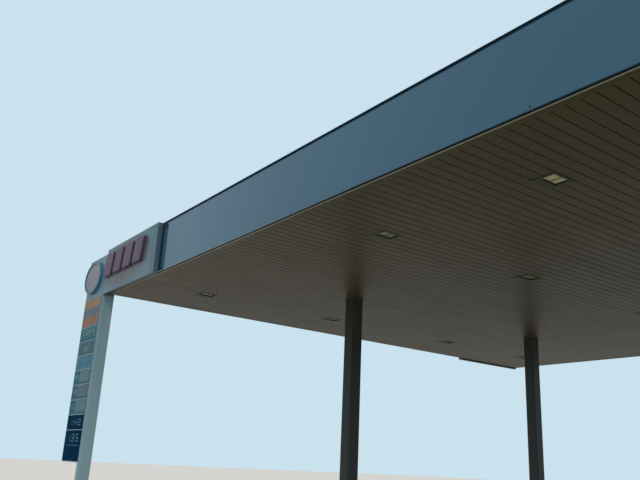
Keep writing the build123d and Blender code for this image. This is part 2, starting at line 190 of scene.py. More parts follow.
def rounded(corners: Iterable[Point], radius: float) -> Outline:
    """Rounds the corners of a convex outline.

    Args:
        corners: The sharp corners, counter-clockwise.
        radius: Radius of each corner.

    Returns:
        The rounded outline.
    """
    sharp = [Vector(c) for c in corners]
    points = []
    for before, corner, after in zip([sharp[-1]] + sharp, sharp, sharp[1:] + sharp[:1]):
        towards, onwards = (before - corner).normalized(), (after - corner).normalized()
        half = towards.angle(onwards) / 2
        centre = corner + (towards + onwards).normalized() * radius / math.sin(half)
        start = (corner + towards * radius / math.tan(half)) - centre
        step = (math.pi - 2 * half) / CORNER_STEPS
        points += [centre + Matrix.Rotation(step * i, 2) @ start for i in range(CORNER_STEPS + 1)]
    return points


def lifted(outline: Outline, height: float) -> Outline:
    """Puts a flat outline at a height of the drawing plane."""
    return [Vector((p.x, p.y, height)) for p in outline]


def facing_front(y: float) -> Matrix:
    """Drawing plane of an upright face: x stays, y becomes up and z comes forward from the given y."""
    return Matrix(((1, 0, 0, 0), (0, 0, -1, y), (0, 1, 0, 0), (0, 0, 0, 1)))


class Piece:
    """A mesh under construction, in metres in the model's frame, that becomes one named object."""

    def __init__(self, name: str) -> None:
        """Starts an empty mesh."""
        self.name = name
        self.mesh = bmesh.new()

    def bevel(self, edges: list[bmesh.types.BMEdge], width: float, steps: int) -> "Piece":
        """Eases some edges of the mesh."""
        bmesh.ops.bevel(self.mesh, geom=edges, offset=width, segments=steps, profile=0.5, affect="EDGES")
        return self

    def ease(self, width: float) -> "Piece":
        """Eases every sharp edge of the mesh."""
        sharp = [e for e in self.mesh.edges if e.is_manifold and e.calc_face_angle() > SHARP_ANGLE]
        return self.bevel(sharp, width, 2)

    def block(self, lo: Point, hi: Point, bevel: float = 0.0, steps: int = 2) -> "Piece":
        """Adds a box with eased edges.

        Args:
            lo: Lowest corner.
            hi: Highest corner.
            bevel: Width of the eased edges.
            steps: Segments in each eased edge.

        Returns:
            This piece.
        """
        lo, hi = Vector(lo), Vector(hi)
        place = Matrix.Translation((lo + hi) / 2) @ Matrix.Diagonal((*(hi - lo), 1))
        verts = bmesh.ops.create_cube(self.mesh, size=1, matrix=place)["verts"]
        if bevel:
            self.bevel(list({edge for vert in verts for edge in vert.link_edges}), bevel, steps)
        return self

    def loft(self, rings: Sequence[Outline], matrix: Matrix = Matrix(), looped: bool = False) -> "Piece":
        """Joins rings of as many points each, and closes the first and last one.

        Args:
            rings: The rings, from the back to the front of the form.
            matrix: Where the form stands.
            looped: Whether the last ring joins the first one again, with no caps.

        Returns:
            This piece.
        """
        rows = [[self.mesh.verts.new(matrix @ p.to_3d()) for p in ring] for ring in rings]
        for lower, upper in zip(rows, rows[1:] + rows[:looped]):
            for i, vert in enumerate(lower):
                j = (i + 1) % len(lower)
                self.mesh.faces.new((vert, lower[j], upper[j], upper[i]))
        if not looped:
            self.mesh.faces.new(reversed(rows[0]))
            self.mesh.faces.new(rows[-1])
        return self

    def hoop(self, inner: Outline, outer: Outline, start: float, end: float) -> "Piece":
        """Adds a ring of square section between two outlines and two heights."""
        section = ((inner, start), (outer, start), (outer, end), (inner, end))
        return self.loft([lifted(outline, z) for outline, z in section], looped=True)

    def band(self, profile: Iterable[Pair]) -> "Piece":
        """Adds a mitred band round the roof's edge; its section is insets from the fascia, with heights."""
        roof = roof_outline()
        return self.loft([lifted(roof.plan(-inset), height) for inset, height in profile], looped=True)

    def prism(self, outline: Outline, depth: float, matrix: Matrix, ease: float = 0.0) -> "Piece":
        """Adds a plate of a convex outline, with its front edge eased.

        Args:
            outline: The flat outline.
            depth: Thickness of the plate.
            matrix: Drawing plane of the outline; the plate comes forward from it.
            ease: Radius of the front edge.

        Returns:
            This piece.
        """
        middle = sum(outline, Vector((0, 0))) / len(outline)
        reach = max((p - middle).length for p in outline)
        rings = [lifted(outline, 0)]
        for turn in QUARTER if ease else (0,):
            share = 1 - ease * (1 - math.cos(turn)) / reach
            height = depth - ease * (1 - math.sin(turn))
            rings.append(lifted([middle + (p - middle) * share for p in outline], height))
        return self.loft(rings, matrix)

    def turned(self, steps: Iterable[Pair], sides: int, place: Matrix) -> None:
        """Adds a form turned about its upright axis; the steps are radii, with their heights."""
        self.loft([lifted(circle(radius, sides), height) for radius, height in steps], place)

    def repeat(self, offsets: Iterable[Point]) -> None:
        """Copies the mesh so far to every offset, in place of the one that was drawn.

        Args:
            offsets: How far each copy is moved.
        """
        pattern = bpy.data.meshes.new("pattern")
        self.mesh.to_mesh(pattern)
        self.mesh.clear()
        for offset in offsets:
            pattern.transform(Matrix.Translation(offset))
            self.mesh.from_mesh(pattern)
            pattern.transform(Matrix.Translation(-Vector(offset)))
        bpy.data.meshes.remove(pattern)

    def cut(self, cutter: "Piece") -> "Piece":
        """Takes another piece's form out of this one.

        Args:
            cutter: The form that is taken out; it is used up.

        Returns:
            This piece.
        """
        body, tool = self.as_object(), cutter.as_object()
        change = body.modifiers.new("cut", "BOOLEAN")
        change.operation, change.solver, change.object = "DIFFERENCE", "EXACT", tool
        result = baked(body)
        self.mesh.clear()
        self.mesh.from_mesh(result)
        for used in (body.data, tool.data, result):
            bpy.data.meshes.remove(used)
        return self

    def as_object(self) -> bpy.types.Object:
        """Makes an object of the mesh as it is now."""
        bmesh.ops.recalc_face_normals(self.mesh, faces=self.mesh.faces)
        mesh = bpy.data.meshes.new(self.name)
        self.mesh.to_mesh(mesh)
        return put(self.name, mesh)

    def finish(self, slot: str, look: "Finish", replaces: Sequence[str] = ()) -> None:
        """Turns the mesh into a dressed object, smooth between its sharp edges, with flat large faces.

        Args:
            slot: Material slot of the record that the piece takes its finish from; not used.
            look: The finish.
            replaces: CAD nodes that the piece stands for.
        """
        made = self.as_object()
        self.mesh.free()
        rough = made.data
        rough.shade_smooth()
        rough.set_sharp_from_angle(angle=SMOOTH_ANGLE)
        made.modifiers.new("flat_faces", "WEIGHTED_NORMAL").keep_sharp = True
        made.data = baked(made)
        made.modifiers.clear()
        bpy.data.meshes.remove(rough)
        made.data.name = self.name
        made.data.materials.append(look.material)
        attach(made, BODY)
        if replaces:
            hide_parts(*replaces)
        log.info("%s: %d faces", made.name, len(made.data.polygons))


@dataclass(frozen=True)
class Screw:
    """A domed screw head."""

    radius: float
    height: float
    dome: Sequence[Pair] = ((1.0, 0.0), (1.0, 0.35), (0.8, 0.75), (0.4, 1.0))
    sides: int = 8

    def add(self, piece: Piece, place: Point, axis: Point) -> None:
        """Adds the head to a piece.

        Args:
            piece: The piece.
            place: Where the head sits.
            axis: The way that it points.
        """
        turn = Vector(UP).rotation_difference(Vector(axis)).to_matrix().to_4x4()
        steps = [(self.radius * share, self.height * rise) for share, rise in self.dome]
        piece.turned(steps, self.sides, Matrix.Translation(place) @ turn)


@dataclass(frozen=True)
class Nut:
    """A washer, a hexagon nut and the end of its stud; shares are of the nut's width across its flats."""

    flats: float
    stud: float
    washer_radius: float = 0.95
    washer_height: float = 0.12
    nut_height: float = 0.8
    chamfer: float = 0.06
    chamfer_reach: float = 0.9
    rod_radius: float = 0.32
    tip_radius: float = 0.26
    tip_height: float = 0.003

    def add(self, piece: Piece, place: Point) -> None:
        """Adds the nut to a piece, standing upright.

        Args:
            piece: The piece.
            place: Where the washer sits.
        """
        flats, corner = self.flats, self.flats / math.sqrt(3)
        washer, high = self.washer_height * flats, self.nut_height * flats
        shoulder, reach = high - self.chamfer * flats, self.washer_radius * flats
        rod, tip = self.rod_radius * flats, self.tip_radius * flats
        for sides, steps in (
            (20, ((reach, 0), (reach, washer))),
            (6, ((corner, washer), (corner, shoulder), (self.chamfer_reach * corner, high))),
            (12, ((rod, high), (rod, self.stud - self.tip_height), (tip, self.stud))),
        ):
            piece.turned(steps, sides, Matrix.Translation(place))

    def stand(self, name: str, node: str, inset: float) -> None:
        """Stands a nut near each corner of each plate in a CAD node.

        Args:
            name: Name of the piece.
            node: The CAD node.
            inset: How far the nuts are from the plates' edges.
        """
        piece = Piece(name)
        for plate in solids(node):
            for corner in plate.plan(-inset):
                self.add(piece, (*corner, plate.hi.z))
        piece.finish("galvanised", STEEL)


# Finishes


@dataclass(frozen=True)
class Pattern:
    """Noise of so many features a metre, from the value where it starts to the one where it is full."""

    scale: float
    detail: float
    stretch: Triple = (1, 1, 1)
    start: float = 0.3
    end: float = 0.7


CLOUDS = Pattern(0.7, 4, start=0.35, end=0.65)
RAIN_RUNS = Pattern(1.0, 5, (7, 7, 0.5), 0.48, 0.72)
SPECKS = Pattern(60, 2, end=0.6)
DULLNESS = Pattern(0.9, 4)
# Noise that breaks up the painted shadow round the sign bars.
SHADOW_PATCHES = Pattern(4.0, 5, (1, 1, 0.6), 0.35, 0.6)
SLAT_CLOUDS = Pattern(0.5, 4, start=0.4)
SLAT_FILM = Pattern(3.0, 5, (1, 0.25, 1), 0.5, 0.75)
SLAT_GLOSS = Pattern(3.0, 5, (1, 0.25, 1))
ZINC_BLOOM = Pattern(1.8, 5, start=0.45)
FADING = Pattern(2.2, 4, start=0.35, end=0.65)
FADED_GLOSS = Pattern(2.2, 4)
DIRT_RUNS = Pattern(2.0, 5, (5, 5, 0.6), 0.5, 0.75)
LENS_DUST = Pattern(9, 4, start=0.4)


class Tree:
    """The node tree of a new material or world, with short calls for the nodes that it needs."""

    def __init__(self, owner: bpy.types.Material | bpy.types.World) -> None:
        """Opens the tree of its owner.

        Args:
            owner: The material or world.
        """
        owner.use_nodes = True
        self.owner = owner
        self.nodes, self.links = owner.node_tree.nodes, owner.node_tree.links

    @cached_property
    def place(self) -> Socket:
        """The place on the part, in metres."""
        return self.add("TexCoord", {}).outputs["Object"]

    def feed(self, socket: Socket, value: Fed) -> None:
        """Links a socket, or sets it to a plain value.

        Args:
            socket: The input.
            value: The output that it is linked to, or its number, vector or colour.
        """
        if isinstance(value, Socket):
            self.links.new(value, socket)
        elif socket.type == "RGBA" and len(value) == 3:
            socket.default_value = (*value, 1)
        else:
            socket.default_value = value

    def add(self, kind: str, inputs: dict[str | int, Fed], **settings: object) -> bpy.types.Node:
        """Adds a shader node.

        Args:
            kind: Node type without its ShaderNode prefix.
            inputs: Values or links for its inputs.
            **settings: Its own properties.

        Returns:
            The node.
        """
        node = self.nodes.new("ShaderNode" + kind)
        for key, value in settings.items():
            setattr(node, key, value)
        for key, value in inputs.items():
            self.feed(node.inputs[key], value)
        return node

    def shade(self, **inputs: Fed) -> None:
        """Feeds the Principled shader; an underscore in a name stands for a space."""
        for key, value in inputs.items():
            self.feed(self.nodes["Principled BSDF"].inputs[key.replace("_", " ")], value)

    def noise(self, scale: float, detail: float, stretch: Triple = (1, 1, 1)) -> Socket:
        """Adds a noise texture; its scale, octaves and stretch are a pattern's."""
        place = self.add("Mapping", {"Vector": self.place, "Scale": stretch}).outputs[0]
        return self.add("TexNoise", {"Vector": place, "Scale": scale, "Detail": detail}).outputs[0]

    def span(self, value: Socket, start: float, end: float, low: float, high: float) -> Socket:
        """Maps start to low and end to high, clamped."""
        return self.add("MapRange", {0: value, 1: start, 2: end, 3: low, 4: high}).outputs[0]

    def spread(self, pattern: Pattern, low: float, high: float) -> Socket:
        """Gives low where a pattern hasn't started and high where it is full."""
        noise = self.noise(pattern.scale, pattern.detail, pattern.stretch)
        return self.span(noise, pattern.start, pattern.end, low, high)

    def blend(self, share: Socket, first: Fed, second: Fed) -> Socket:
        """Mixes two colours; a share of 1 gives the second one."""
        return self.add("Mix", {0: share, 6: first, 7: second}, data_type="RGBA").outputs[2]

    def math(self, operation: str, *values: Fed) -> Socket:
        """Works out a number from one or two."""
        return self.add("Math", dict(enumerate(values)), operation=operation).outputs[0]

    def multiply(self, first: Fed, second: Fed) -> Socket:
        """Multiplies two numbers."""
        return self.math("MULTIPLY", first, second)

    def grain(self, scale: float, depth: float = 0.0001) -> Socket:
        """Adds fine relief: its features per metre, and its depth in metres."""
        inputs = {"Height": self.noise(scale, 2), "Distance": depth, "Strength": 1.0}
        return self.add("Bump", inputs).outputs[0]


@dataclass(frozen=True)
class Finish:
    """A finish of the part; its subclasses draw the material."""

    name: str

    @cached_property
    def tree(self) -> Tree:
        """The node tree of the finish."""
        return Tree(bpy.data.materials.new(self.name))

    @cached_property
    def material(self) -> bpy.types.Material:
        """The finish as a material, made once."""
        self.draw()
        return self.tree.owner

    def draw(self) -> None:
        """Draws the finish into its tree."""
        raise NotImplementedError


@dataclass(frozen=True)
class Paint(Finish):
    """Spray or coil coating, a little uneven in tone and gloss, with rain streaks and dust."""

    colour: Colour
    worn: Colour
    roughness: float = 0.45
    coat: float = 0.0
    streaks: float = 0.3
    peel: float = 0.00015
    shine: float = 0.4
    gloss: float = 0.12

    def tone(self) -> Socket:
        """Mixes the coating's colour, with its clouds and streaks.

        Returns:
            The colour.
        """
        tree = self.tree
        tone = tree.blend(tree.spread(CLOUDS, 0, 0.35), self.colour, self.worn)
        dirt = tree.multiply(tree.spread(RAIN_RUNS, 0, self.streaks), tree.spread(SPECKS, 0.5, 1))
        return tree.blend(dirt, tone, self.worn)

    def draw(self) -> None:
        """Draws the finish into its tree."""
        tree = self.tree
        tree.shade(
            Base_Color=self.tone(),
            Roughness=tree.spread(DULLNESS, self.roughness - 0.04, self.roughness + 0.08),
            Specular_IOR_Level=self.shine,
            Coat_Weight=self.coat,
            Coat_Roughness=self.gloss,
            Normal=tree.grain(420, self.peel),
        )


@dataclass(frozen=True)
class ShadowedPaint(Paint):
    """Coating with a patch of painted shadow on it, broken up by noise."""

    centre: Triple = (0.0, 0.0, 0.0)
    reach: Triple = (1.0, 1.0, 1.0)
    shadow_colour: Colour = (0.1, 0.1, 0.1)
    solid_share: float = 0.7
    thinnest: float = 0.45

    def tone(self) -> Socket:
        """Mixes the coating's colour, with the painted shadow patch that fades out at its reach.

        Returns:
            The colour.
        """
        tree, unshadowed = self.tree, super().tone()
        scaled = tree.add("VectorMath", {0: tree.place, 1: self.reach}, operation="DIVIDE").outputs[0]
        middle = tuple(c / r for c, r in zip(self.centre, self.reach))
        away = tree.add("VectorMath", {0: scaled, 1: middle}, operation="DISTANCE").outputs["Value"]
        patches = tree.spread(SHADOW_PATCHES, self.thinnest, 1)
        share = tree.multiply(tree.span(away, self.solid_share, 1, 1, 0), patches)
        return tree.blend(share, unshadowed, self.shadow_colour)


@dataclass(frozen=True)
class SlatCoating(Finish):
    """Semi-gloss coil coating of the soffit slats; each slat has a tone of its own."""

    colour: Colour
    worn: Colour
    first: float
    pitch: float
    roughness: float = 0.42
    shine: float = 0.12

    def draw(self) -> None:
        """Draws the finish into its tree."""
        tree = self.tree
        x = tree.add("SeparateXYZ", {0: tree.place}).outputs["X"]
        module = {0: x, 1: self.first, 2: self.first + self.pitch, 3: 0, 4: 1}
        along = tree.add("MapRange", module, clamp=False).outputs[0]
        own = tree.add("TexWhiteNoise", {"W": tree.math("FLOOR", along)}, noise_dimensions="1D").outputs[0]
        tone = tree.blend(tree.multiply(own, 0.1), self.colour, self.worn)
        tone = tree.blend(tree.spread(SLAT_CLOUDS, 0, 0.35), tone, self.worn)
        tree.shade(
            Base_Color=tree.blend(tree.spread(SLAT_FILM, 0, 0.3), tone, self.worn),
            Roughness=tree.spread(SLAT_GLOSS, self.roughness, self.roughness + 0.04),
            Specular_IOR_Level=self.shine,
            Normal=tree.grain(350),
        )


@dataclass(frozen=True)
class Zinc(Finish):
    """Hot-dip galvanised sheet with its spangle and a white bloom."""

    colour: Colour
    bloom: Colour
    spangle: float = 28.0

    def draw(self) -> None:
        """Draws the finish into its tree."""
        tree = self.tree
        cells = tree.add("TexVoronoi", {"Vector": tree.place, "Scale": self.spangle}).outputs["Color"]
        grain = tree.add("SeparateColor", {0: cells}).outputs[0]
        dull = tuple(0.6 * c for c in self.colour)
        bloomed = tree.spread(ZINC_BLOOM, 0, 0.6)
        tone = tree.blend(tree.multiply(grain, 0.45), self.colour, dull)
        tree.shade(
            Base_Color=tree.blend(bloomed, tone, self.bloom),
            Metallic=tree.span(bloomed, 0, 0.6, 0.85, 0.35),
            Roughness=tree.span(grain, 0, 1, 0.38, 0.6),
            Normal=tree.grain(300),
        )


@dataclass(frozen=True)
class Moulded(Finish):
    """Moulded or printed plastic with a fine surface, faded unevenly by the sun."""

    colour: Colour
    faded: Colour
    roughness: float = 0.3
    shine: float = 0.25

    def draw(self) -> None:
        """Draws the finish into its tree."""
        tree = self.tree
        tone = tree.blend(tree.spread(FADING, 0, 0.5), self.colour, self.faded)
        dark = tuple(0.45 * c for c in self.colour)
        tree.shade(
            Base_Color=tree.blend(tree.spread(DIRT_RUNS, 0, 0.3), tone, dark),
            Roughness=tree.spread(FADED_GLOSS, self.roughness - 0.05, self.roughness + 0.1),
            Specular_IOR_Level=self.shine,
            Normal=tree.grain(500),
        )


@dataclass(frozen=True)
class LensGlass(Finish):
    """Pressed prismatic lens with a dust film; its base colour is painted light of the lamp behind it, bright
    in the glowing lens and dim in the unlit ones.
    """

    colour: Colour
    dust: Colour
    most_dust: float = 0.45

    def draw(self) -> None:
        """Draws the finish into its tree."""
        tree = self.tree
        film = tree.spread(LENS_DUST, 0, self.most_dust)
        tree.shade(
            Base_Color=tree.blend(film, self.colour, self.dust),
            Roughness=tree.span(film, 0, self.most_dust, 0.12, 0.4),
            IOR=1.5,
            Transmission_Weight=0.35,
            Normal=tree.grain(120, 0.0002),
        )


@dataclass(frozen=True)
class PaleFloor(Finish):
    """Plain pale floor."""

    colour: Colour

    def draw(self) -> None:
        """Draws the finish into its tree."""
        self.tree.shade(Base_Color=self.colour, Roughness=0.9, Specular_IOR_Level=0.1)


# Fascia base colour: the real blue paint darkened as painted shade of the backlit front; the clear coat gives
# the real reflections.
FASCIA = Paint(
    "fascia_coating", srgb(32, 78, 102), srgb(28, 70, 92),
    roughness=0.3, coat=1.0, streaks=0.1, peel=0.00004, shine=0.1, gloss=0.03,
)
COPING = Paint("coping_paint", srgb(4, 26, 34), srgb(18, 36, 42), roughness=0.5, streaks=0.15, shine=0.05)
COLUMN = Paint(
    "column_paint", srgb(36, 46, 42), srgb(52, 54, 46), coat=0.1, streaks=0.45, peel=0.0002, shine=0.25
)
PRIMER = Paint(
    "frame_paint", srgb(150, 152, 152), srgb(112, 110, 104), roughness=0.6, streaks=0.5, peel=0.0003
)
DECK = Paint("deck_coating", srgb(196, 200, 202), srgb(150, 150, 146), coat=0.1, streaks=0.5)
# Soffit trim (also the sign's closing sheet) and light frames: dark olive like the slats, painted shade under
# the roof over a paler real coating.
TRIM = Paint("soffit_trim", srgb(62, 58, 35), srgb(55, 50, 28), roughness=0.43, streaks=0.2, shine=0.12)
BEAD = Paint("soffit_bead", srgb(132, 138, 124), srgb(112, 114, 98), roughness=0.35, coat=0.1, streaks=0.2)
LIGHT_FRAME = Paint("light_frame", srgb(46, 58, 36), srgb(58, 60, 38), roughness=0.46, shine=0.12)
# Near black collar paint: painted shade in the lights' recesses.
RECESS_SHADE_PAINT = Paint("light_collar_shade", srgb(22, 24, 18), srgb(36, 36, 28), roughness=0.5, shine=0.2)
ENAMEL = Paint("light_housing", srgb(214, 214, 204), srgb(180, 178, 164), roughness=0.3, coat=0.3)
SPACER = Paint("sign_spacer", srgb(14, 30, 40), srgb(30, 42, 50), roughness=0.5, coat=0.1, shine=0.25)
SHEET = {"roughness": 0.36, "coat": 0.1, "peel": 0.0001, "shine": 0.3}
# The pylon's side skins, post and corner covers are paler copies of the housing's paint: painted light on the
# sides, with the housing's front as the shaded copy.
PYLON = Paint("pylon_coating", srgb(84, 114, 126), srgb(74, 98, 106), streaks=0.35, **SHEET)
SIDE_LIT_SKIN = Paint("pylon_skin_painted_light", srgb(130, 162, 172), srgb(108, 134, 142), streaks=0.4, **SHEET)
CORNER = Paint(
    "pylon_corner", srgb(134, 168, 182), srgb(114, 142, 152),
    roughness=0.34, coat=0.15, peel=0.0001, shine=0.35,
)
RAIL = Paint("panel_rail", srgb(132, 160, 170), srgb(112, 136, 144), roughness=0.4, streaks=0.25)
SEALANT = Paint("sealant", srgb(38, 38, 36), srgb(60, 58, 54), roughness=0.7, streaks=0.2)
STEEL = Zinc("galvanised", srgb(170, 174, 176), srgb(176, 178, 176))
BARS = Moulded("sign_bar", srgb(76, 58, 82), srgb(98, 70, 88), roughness=0.4)
RIM = Moulded("disc_rim", srgb(60, 106, 130), srgb(80, 120, 140), roughness=0.32)
FIELD = Moulded("disc_face", srgb(124, 122, 128), srgb(112, 110, 114), roughness=0.36)
# The glowing lens is painted bright as a painted lamp glow; the unlit lenses get a darker base as painted
# shade.
GLOWING_LENS = LensGlass("light_lens", srgb(214, 204, 168), srgb(178, 168, 134))
UNLIT_LENS = LensGlass("light_lens_unlit", srgb(150, 146, 120), srgb(124, 120, 96))


def dress(look: Finish, *nodes: str) -> None:
    """Gives CAD nodes a finish.

    Args:
        look: The finish.
        *nodes: Names of the nodes.
    """
    for name in nodes:
        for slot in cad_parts[name].material_slots:
            slot.material = look.material
        log.info("%s: dressed in %s", name, look.name)


# Sub-assemblies


@dataclass
class Columns:
    """Four square columns on base plates, with their anchors, welds and the trims at the soffit."""

    anchor_inset: float = 0.050
    nut: Nut = Nut(flats=0.036, stud=0.052)
    weld: float = 0.010
    weld_section: Sequence[Pair] = ((0, 0), (1, 0), (0.6, 0.6), (0, 1))
    corner: float = 0.020
    trim_gap: float = 0.001
    trim_width: float = 0.032
    trim_thickness: float = 0.003

    def build(self) -> None:
        """Dresses the columns and adds their small parts."""
        dress(COLUMN, *COLUMNS, "base_plates")
        dress(PRIMER, "head_plates")
        self.nut.stand("anchor_nuts", "base_plates", self.anchor_inset)
        self.welds()
        self.soffit_trims()

    def welds(self) -> None:
        """Weld beads round the feet of the columns."""
        piece = Piece("column_welds")
        for box in map(Box.of, COLUMNS):
            rings = []
            for out, up in self.weld_section:
                outline = rounded(box.plan(out * self.weld), self.corner + out * self.weld)
                rings.append(lifted(outline, box.lo.z + up * self.weld))
            piece.loft(rings, looped=True)
        piece.finish("column_paint", COLUMN)

    def soffit_trims(self) -> None:
        """Flat trims that cover the gap between each column and the slats."""
        piece = Piece("column_trims")
        soffit = Box.of("soffit_bay_1").lo.z
        for box in map(Box.of, COLUMNS):
            edges = [rounded(box.plan(reach), self.corner) for reach in (self.trim_gap, self.trim_width)]
            piece.hoop(*edges, soffit, soffit - self.trim_thickness)
        piece.finish("soffit_coating", SEALANT)


@dataclass
class RoofFrame:
    """Beams, purlins, posts, rails and hangers between the soffit and the deck."""

    def build(self) -> None:
        """Dresses the steelwork."""
        dress(PRIMER, "main_beam_left", "main_beam_right", "purlins")
        dress(PRIMER, *(f"edge_beam_{side}" for side in SIDES))
        dress(STEEL, "fascia_posts", "soffit_rails", "soffit_hangers")


@dataclass
class RoofEdge:
    """Fascia cassettes, coping, flashings and the small parts on them."""

    coping_sheet: float = 0.004
    coping_leg: float = 0.026
    # Strip under the fascia's return, painted dark as painted shade.
    shade_strip_thickness: float = 0.002
    shade_strip_front: float = 0.016
    shade_strip_back: float = 0.030
    plug_place: Triple = (6.824, -3.635, 4.632)
    plug: Screw = Screw(0.012, 0.008)

    def build(self) -> None:
        """Dresses the edge and adds its small parts."""
        dress(FASCIA, *(f"fascia_{side}" for side in SIDES))
        dress(STEEL, "parapet_flashing_front_back", "parapet_flashing_left_right")
        self.coping()
        self.shade_strip()
        piece = Piece("fascia_plug")
        self.plug.add(piece, self.plug_place, TO_FRONT)
        piece.finish("coping_paint", SEALANT)

    def coping(self) -> None:
        """Cap over the parapet with a slim leg on each side and eased folds."""
        front, sheet = Box.of("coping_front"), self.coping_sheet
        outer, high = front.lo.y - roof_outline().lo.y, front.hi.z
        inner, low, under = outer + front.size.y, high - self.coping_leg, high - sheet
        profile = [(outer, high), (outer, low), (outer + sheet, low), (outer + sheet, under)]
        profile += [(inner - sheet, under), (inner - sheet, low), (inner, low), (inner, high)]
        nodes = [f"coping_{side}" for side in SIDES]
        Piece("roof_coping").band(profile).ease(EASED).finish("coping_paint", COPING, nodes)

    def shade_strip(self) -> None:
        """Dark strip under the fascia's folded return: painted shade for the dark underside and shadow gap
        there.
        """
        high = roof_outline().lo.z
        low, front, back = high - self.shade_strip_thickness, self.shade_strip_front, self.shade_strip_back
        piece = Piece("fascia_shade_strip").band(((front, high), (back, high), (back, low), (front, low)))
        piece.finish("coping_paint", COPING)


@dataclass
class RoofCovering:
    """Deck sheets and gutters, with the deck's screws."""

    screw: Screw = Screw(0.009, 0.006)
    flat: float = 0.0005

    def build(self) -> None:
        """Dresses the deck and gutters and adds the screws."""
        dress(DECK, "roof_deck")
        dress(STEEL, "gutter_front", "gutter_back")
        self.screws()

    def screws(self) -> None:
        """Sealed screws through the ribs of the deck, over each purlin."""
        piece = Piece("deck_screws")
        points = [vert.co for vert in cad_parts["roof_deck"].data.vertices]
        top, deck_top = max(p.z for p in points), Box.of("roof_deck").hi.z
        edges = sorted({round(p.x, 4) for p in points if p.z > top - self.flat})
        for purlin in solids("purlins")[1:-1]:
            for left, right in zip(edges[::2], edges[1::2]):
                self.screw.add(piece, ((left + right) / 2, purlin.centre.y, deck_top), UP)
        piece.finish("galvanised", STEEL)


@dataclass
class Soffit:
    """Slatted soffit, its border strip, and the bead and screws of the border."""

    pitch: float = 0.150
    groove: float = 0.011
    groove_depth: float = 0.016
    slit: float = 0.001
    fold: float = 0.002
    bead_width: float = 0.014
    bead_drop: float = 0.008
    bead_steps: int = 6
    hole_margin: float = 0.002
    cutter_reach: float = 0.05
    widest_hole: float = 0.3
    screw_spacing: float = 0.60
    screw: Screw = Screw(0.006, 0.003)

    @cached_property
    def coating(self) -> SlatCoating:
        """The slats' coating, set out on their module."""
        first = Box.of("soffit_bay_1").lo.x
        # Slat colours: dark olive as painted shade under the roof, over a much paler real coating.
        return SlatCoating("soffit_coating", srgb(62, 58, 35), srgb(55, 50, 28), first, self.pitch)

    def build(self) -> None:
        """Builds the slats and dresses the border."""
        for index in (1, 2, 3):
            self.bay(index)
        dress(TRIM, "soffit_border_front_back", "soffit_border_left_right")
        self.bead()
        self.screws()

    def bead(self) -> None:
        """Pale half-round bead along the outer edge of the border."""
        border, half = Box.of("soffit_border_front_back"), self.bead_width / 2
        outer, high = border.lo.y - roof_outline().lo.y, border.lo.z
        turns = [math.pi * i / self.bead_steps for i in range(self.bead_steps, -1, -1)]
        profile = [(outer + half * (1 - math.cos(t)), high - self.bead_drop * math.sin(t)) for t in turns]
        Piece("soffit_bead").band(profile).finish("soffit_coating", BEAD)

    def bay(self, index: int) -> None:
        """One bay of separate folded slats with holes for the lights and columns.

        Args:
            index: The bay's number, from the left.
        """
        node = f"soffit_bay_{index}"
        box, piece = Box.of(node), Piece(f"soffit_slats_{index}")
        starts = [box.lo.x + i * self.pitch for i in range(round(box.size.x / self.pitch))]
        for start, end in zip(starts, starts[1:] + [box.hi.x]):
            section = self.slat(start, end, box.size.z)
            piece.loft([[Vector((x, y, box.lo.z + z)) for x, z in section] for y in (box.lo.y, box.hi.y)])
        piece.cut(self.holes(box)).finish("soffit_coating", self.coating, [node])

    def slat(self, start: float, end: float, thick: float) -> list[Pair]:
        """Draws a slat's section, a shallow tray with folded edges.

        Args:
            start: Middle of the groove at its left.
            end: Middle of the groove at its right.
            thick: Thickness of the soffit.

        Returns:
            The section's points: x, and height above the face.
        """
        half, slit, rise = self.groove / 2, self.slit / 2, self.groove_depth
        fold = [(self.fold * (1 - math.cos(t)), self.fold * (1 - math.sin(t))) for t in QUARTER]
        left, right = start + half, end - half
        section = [(start + slit, thick), (start + slit, rise), (left, rise)]
        section += [(left + inset, height) for inset, height in fold]
        section += [(right - inset, height) for inset, height in reversed(fold)]
        return section + [(right, rise), (end - slit, rise), (end - slit, thick)]

    def holes(self, box: Box) -> Piece:
        """Makes cutters for the lights and columns that lie in a bay.

        Args:
            box: The bay's box.

        Returns:
            The cutters, as one piece.
        """
        cutter = Piece("soffit_holes")
        low, high = box.lo.z - self.cutter_reach, box.hi.z + self.cutter_reach
        for hole in [*solids("downlight_housings"), *map(Box.of, COLUMNS)]:
            if box.lo.x - self.widest_hole < hole.centre.x < box.hi.x + self.widest_hole:
                near, _, far, _ = hole.plan(self.hole_margin)
                cutter.block((*near, low), (*far, high))
        return cutter

    def screws(self) -> None:
        """Painted screws along the middle of the border strip."""
        piece = Piece("border_screws")
        for strip in solids("soffit_border_front_back") + solids("soffit_border_left_right"):
            along = 0 if strip.size.x > strip.size.y else 1
            count = round(strip.size[along] / self.screw_spacing)
            for i in range(1, count):
                place = strip.centre
                place[along] = strip.lo[along] + strip.size[along] * i / count
                place.z = strip.lo.z
                self.screw.add(piece, place, DOWN)
        piece.finish("soffit_coating", TRIM)


